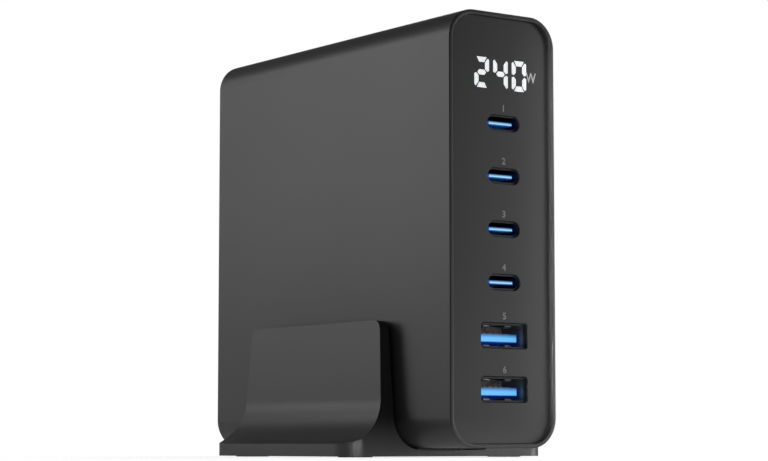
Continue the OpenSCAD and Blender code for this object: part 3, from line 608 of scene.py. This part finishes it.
# Cradle. One moulding of the same plastic: a low base whose sides sweep up into two wings that
# hold the body upright, with soft edges all round. Rubber rests and feet are glued into recesses.
CRADLE_LOW, CRADLE_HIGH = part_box("cradle")
CRADLE_W = CRADLE_HIGH.x - CRADLE_LOW.x
CRADLE_D = CRADLE_HIGH.y - CRADLE_LOW.y
CRADLE_FOOT = CRADLE_LOW.z
CRADLE_TOP = CRADLE_HIGH.z
CRADLE_CORNER = 5.5 * MM
BASE_T = 2.9 * MM
FLOOR_T = 1.5 * MM
FLARE_R = 10.9 * MM
FLARE_STEPS = 26
WING_ROOT = 3.5 * MM
WING_TIP = 2.4 * MM
WING_LEAN = 2 * MM
WING_CORNER = 2.5 * MM
WING_STEPS = 12
SLOT_GAP = 0.7 * MM
SLOT_SPREAD = 0.35 * MM
SLOT_FOOT = BODY_W / 2 + SLOT_GAP
SLOT_TOP = SLOT_FOOT + SLOT_SPREAD
CORNER_GAP = 0.4 * MM
SLOT_CORNER = BODY_CORNER + CORNER_GAP
SLOT_STEPS = 18
REST_D = 8 * MM
FOOT_R = 4 * MM
FOOT_STEPS = 40
PAD_GAP = 0.1 * MM
CUT_OVER = 1 * MM
EDGE_W = 0.35 * MM
EDGE_STEPS = 3
SHARP_FROM = math.radians(28)
RUBBER = (0.03, 0.03, 0.031)


def cradle_section():
    """The cradle's outline across the front, wider than its base, anticlockwise from its foot"""
    base_top = CRADLE_FOOT + BASE_T
    slot_low = CRADLE_FOOT + FLOOR_T
    lean = math.degrees(math.atan2(SLOT_TOP - SLOT_FOOT, CRADLE_TOP - slot_low - SLOT_CORNER))
    flare = (SLOT_FOOT + WING_ROOT + FLARE_R, base_top + FLARE_R)
    right = [(CRADLE_W, CRADLE_FOOT), (CRADLE_W, base_top)]
    right += arc(flare, FLARE_R, 270, 180, FLARE_STEPS)
    right += [(SLOT_TOP + WING_TIP, CRADLE_TOP), (SLOT_TOP, CRADLE_TOP)]
    right += arc((SLOT_FOOT - SLOT_CORNER, slot_low + SLOT_CORNER), SLOT_CORNER, lean, -90, SLOT_STEPS)
    return right + [(-x, z) for x, z in reversed(right)]


def cradle_side():
    """The outline of the wings from the side: ends leaning in, upper corners rounded"""
    half = CRADLE_D / 2
    corner = (half - WING_LEAN - WING_CORNER, CRADLE_TOP - WING_CORNER)
    slope = WING_LEAN / (corner[1] - CRADLE_FOOT - BASE_T)
    right = [(half + slope * (BASE_T + CUT_OVER), CRADLE_FOOT - CUT_OVER)]
    right += arc(corner, WING_CORNER, math.degrees(slope), 90, WING_STEPS)
    return right + [(-y, z) for y, z in reversed(right)]


def upright(x, y, z):
    """The place of a point of an outline in X and Y, at a height"""
    return x, y, z


def prism(name, loop, lift, low, high):
    """A closed prism; lift turns a point of the outline and a distance into a place"""
    count = len(loop)
    points = [lift(*point, low) for point in loop] + [lift(*point, high) for point in loop]
    sides = [(i, (i + 1) % count, count + (i + 1) % count, count + i) for i in range(count)]
    return solid(name, points, sides + [tuple(range(count))[::-1], tuple(range(count, 2 * count))])


def apply_all(made):
    """Turns what the modifiers make into the mesh itself"""
    result = finished_mesh(made)
    made.modifiers.clear()
    old = made.data
    made.data = result
    bpy.data.meshes.remove(old)
    result.name = made.name


def carve(made, tool, operation):
    """Keeps what two solids share, or takes the second from the first"""
    step = made.modifiers.new("carve", "BOOLEAN")
    step.operation = operation
    step.solver = "EXACT"
    step.object = tool
    apply_all(made)
    bpy.data.objects.remove(tool)


cradle = prism("cradle_moulding", cradle_section(), lambda x, z, y: (x, y, z), -CRADLE_D, CRADLE_D)
plan = outline(CRADLE_W, CRADLE_D, CRADLE_CORNER)
carve(cradle, prism("plan", plan, upright, CRADLE_FOOT, CRADLE_TOP + CUT_OVER), "INTERSECT")
carve(cradle, prism("side", cradle_side(), lambda y, z, x: (x, y, z), -CRADLE_W, CRADLE_W), "INTERSECT")

low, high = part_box("cradle_rests")
half_w = high.x + PAD_GAP
outer, inner = high.y + PAD_GAP, high.y - REST_D - PAD_GAP
for k in (-1, 1):
    bed = [(-half_w, k * inner), (half_w, k * inner), (half_w, k * outer), (-half_w, k * outer)]
    carve(cradle, prism("recess", bed, upright, low.z, high.z + CUT_OVER), "DIFFERENCE")

low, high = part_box("cradle_feet")
for k in (-1, 1):
    for j in (-1, 1):
        middle = (j * (high.x - FOOT_R), k * (high.y - FOOT_R))
        bed = arc(middle, FOOT_R + PAD_GAP, 0, 360, FOOT_STEPS)[:-1]
        carve(cradle, prism("recess", bed, upright, low.z - CUT_OVER, high.z), "DIFFERENCE")

soft = cradle.modifiers.new("soft edges", "BEVEL")
soft.width = EDGE_W
soft.segments = EDGE_STEPS
soft.limit_method = "ANGLE"
soft.angle_limit = SHARP_FROM
apply_all(cradle)
cradle_plastic = moulded("cradle_plastic", BODY_GREY, BODY_GRAIN, BODY_SHINE)
settle(cradle, cradle_plastic, ("cradle",))
dress(moulded("pad_rubber", RUBBER, grain=0.3, shine=0.2), "cradle_rests", "cradle_feet")


# Boards. Green glass-fibre boards: the readout's, the sockets', and the main board that
# stands in the rails of the sleeve, with film behind it and an aluminium sheet facing it.
RESIST = (0.012, 0.11, 0.045)
RESIST_ON_TRACK = (0.008, 0.06, 0.028)
TIN = (0.6, 0.6, 0.58)
FILM_BUFF = (0.62, 0.58, 0.45)
ALUMINIUM = (0.72, 0.73, 0.74)
SCREW_GREY = (0.5, 0.5, 0.5)


def circuit_board(name, across, up):
    """Solder resist over copper tracks, with rows of tinned pads"""
    made = bpy.data.materials.new(name)
    board = node_tree(made)
    place = board.node("ShaderNodeTexCoord", {}, {}, "Object")
    flat = board.node("ShaderNodeCombineXYZ", {}, {0: place.part(across), 1: place.part(up), 2: 0.0})
    tracks = board.node("ShaderNodeTexBrick", {"offset": 0.5}, {
        "Vector": flat, "Scale": 260.0, "Mortar Size": 0.06,
        "Brick Width": 1.7, "Row Height": 0.55}, "Fac")
    pads = board.node("ShaderNodeTexVoronoi", {"feature": "F1"}, {
        "Vector": flat, "Scale": 420.0, "Randomness": 0.55})
    tinned = 1 - pads.between(0.14, 0.18)
    return shaded(made, board, {
        "Base Color": tinned.mix(tracks.mix(RESIST, RESIST_ON_TRACK), TIN),
        "Metallic": tinned,
        "Roughness": tinned * 0.05 + 0.3,
        "Normal": board.node("ShaderNodeBump", {}, {
            "Strength": 0.5, "Distance": 0.03 * MM, "Height": tracks * -0.5 + tinned})})


dress(circuit_board("front_board", "X", "Z"), "socket_board", "display_board")
dress(circuit_board("side_board", "Y", "Z"), "main_board")
dress(moulded("film", FILM_BUFF, grain=0.1, shine=0.5), "insulating_film")
rolled_sheet = sheet_metal("rolled_aluminium", ALUMINIUM, 0.3, streak=(1.0, 0.05, 1.0))
dress(rolled_sheet, "heat_spreader", "heat_sink")
dress(sheet_metal("screw_steel", SCREW_GREY, 0.25), "socket_board_screws")


# Power parts. Ferrite cores round taped or enamelled windings, ring chokes, a moulded film
# capacitor, sleeved bulk capacitors, and moulded semiconductors on their heat sink.
FERRITE_GREY = (0.05, 0.05, 0.056)
TAPE_YELLOW = (0.7, 0.45, 0.06)
COPPER = (0.62, 0.24, 0.07)
RING_GREEN = (0.06, 0.2, 0.09)
FILM_YELLOW = (0.72, 0.5, 0.05)
FUSE_BROWN = (0.32, 0.24, 0.12)
SLEEVE_BLACK = (0.02, 0.02, 0.03)
EPOXY_BLACK = (0.02, 0.02, 0.02)
POWDER_GREY = (0.09, 0.09, 0.095)
CAN_BRIGHT = (0.75, 0.76, 0.77)


def wound(name, colour, turns, depth):
    """Turns of wire or tape side by side along X"""
    made = bpy.data.materials.new(name)
    wire = node_tree(made)
    place = wire.node("ShaderNodeTexCoord", {}, {}, "Object")
    bands = wire.node("ShaderNodeTexWave", {"wave_type": "BANDS", "bands_direction": "X"}, {
        "Vector": place, "Scale": turns, "Distortion": 0.4})
    return shaded(made, wire, {
        "Base Color": bands.mix(toned(colour, 0.45), colour),
        "Roughness": bands * -0.1 + 0.4,
        "Normal": wire.node("ShaderNodeBump", {}, {
            "Strength": depth, "Distance": 0.1 * MM, "Height": bands})})


ferrite = moulded("ferrite", FERRITE_GREY, grain=0.5, shine=0.5, speck=0.4)
dress(ferrite, "transformer_core", "boost_choke_core")
dress(wound("taped_winding", TAPE_YELLOW, turns=160.0, depth=0.4), "transformer_winding")
dress(wound("copper_winding", COPPER, turns=330.0, depth=0.8), "boost_choke_winding")
dress(moulded("painted_ring", RING_GREEN, grain=0.4, shine=0.5, speck=0.3), "line_choke_rings")
dress(moulded("film_capacitor", FILM_YELLOW, grain=0.15, shine=0.5), "line_filter_capacitor")
dress(moulded("fuse_case", FUSE_BROWN, grain=0.2, shine=0.5), "fuse")
dress(moulded("capacitor_sleeve", SLEEVE_BLACK, grain=0.05, shine=0.6), "bulk_capacitors")
epoxy = moulded("epoxy", EPOXY_BLACK, grain=0.35, shine=0.4, speck=0.3)
dress(epoxy, "bridge_rectifier", "power_transistors")
dress(moulded("pressed_powder", POWDER_GREY, grain=0.5, shine=0.4, speck=0.5), "output_inductors")
dress(sheet_metal("drawn_can", CAN_BRIGHT, 0.2, streak=(0.1, 1.0, 1.0)), "output_capacitors")
